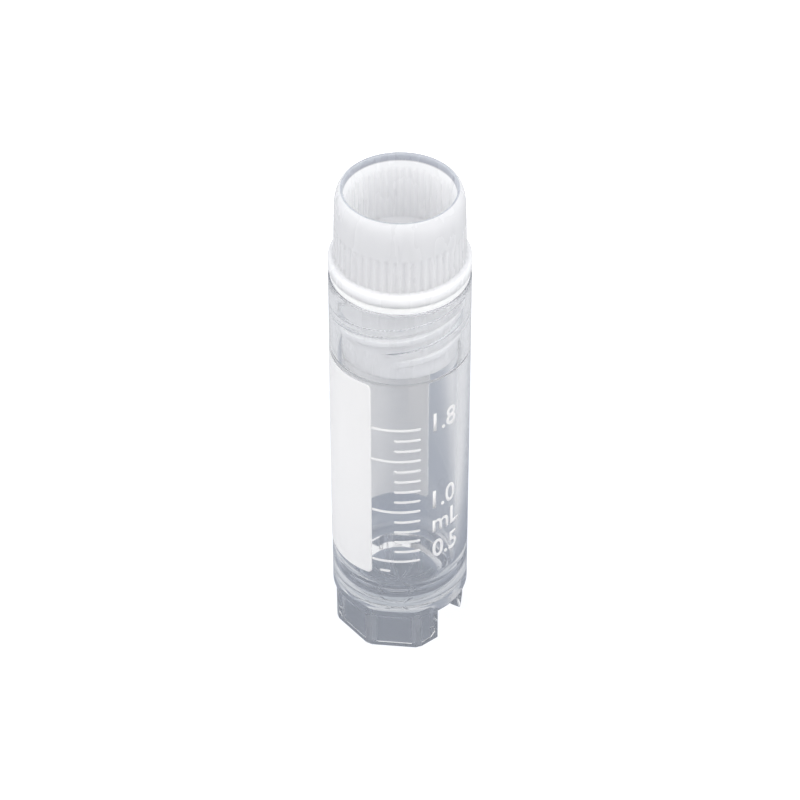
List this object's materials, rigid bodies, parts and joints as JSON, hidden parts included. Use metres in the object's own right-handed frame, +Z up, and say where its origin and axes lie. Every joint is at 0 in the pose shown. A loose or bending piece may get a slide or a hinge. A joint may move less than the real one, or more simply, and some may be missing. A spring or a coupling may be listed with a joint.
{
  "type": "cryogenic vial",
  "caption": "Self-standing screw-cap sample vial: clear round-bottomed tube with white writing patch and volume scale on an eight-sided slotted foot, internal-thread cap with open recess.",
  "frame": {"origin": "middle of the foot, on the surface that the vial stands on", "axes": "+Z up along the tube's axis to the rim of the cap, -Y the front with the volume scale, +X to the right"},
  "size_m": [0.0126, 0.0126, 0.049],
  "materials": {
    "tube_plastic": "clear moulded polypropylene, smooth, slightly hazy",
    "cap_plastic": "translucent natural polypropylene, satin",
    "washer_silicone": "soft white silicone, matte",
    "white_ink": "printed opaque white ink"
  },
  "bodies": {
    "tube": {"vial_tube": "tube_plastic", "writing_patch": "white_ink", "scale_line_050": "white_ink", "scale_line_060": "white_ink", "scale_line_070": "white_ink", "scale_line_080": "white_ink", "scale_line_090": "white_ink", "scale_line_100": "white_ink", "scale_line_110": "white_ink", "scale_line_120": "white_ink", "scale_line_130": "white_ink", "scale_line_140": "white_ink", "scale_line_150": "white_ink", "scale_line_160": "white_ink", "scale_line_170": "white_ink", "scale_line_180": "white_ink"},
    "washer": {"sealing_washer": "washer_silicone"},
    "cap": {"screw_cap": "cap_plastic"}
  },
  "joints": [
    {"name": "cap_lift", "type": "slide", "parent": "tube", "child": "washer", "axis": [0, 0, 1], "range_m": [0, 0.0085]},
    {"name": "cap_turn", "type": "hinge", "parent": "washer", "child": "cap", "pos_m": [0, 0, 0.0408], "axis": [0, 0, 1], "range_deg": [0, 612.5]}
  ],
  "couplings": [
    {"joint": "cap_turn", "follows": "cap_lift", "rad_per_m": 1256.6}
  ]
}
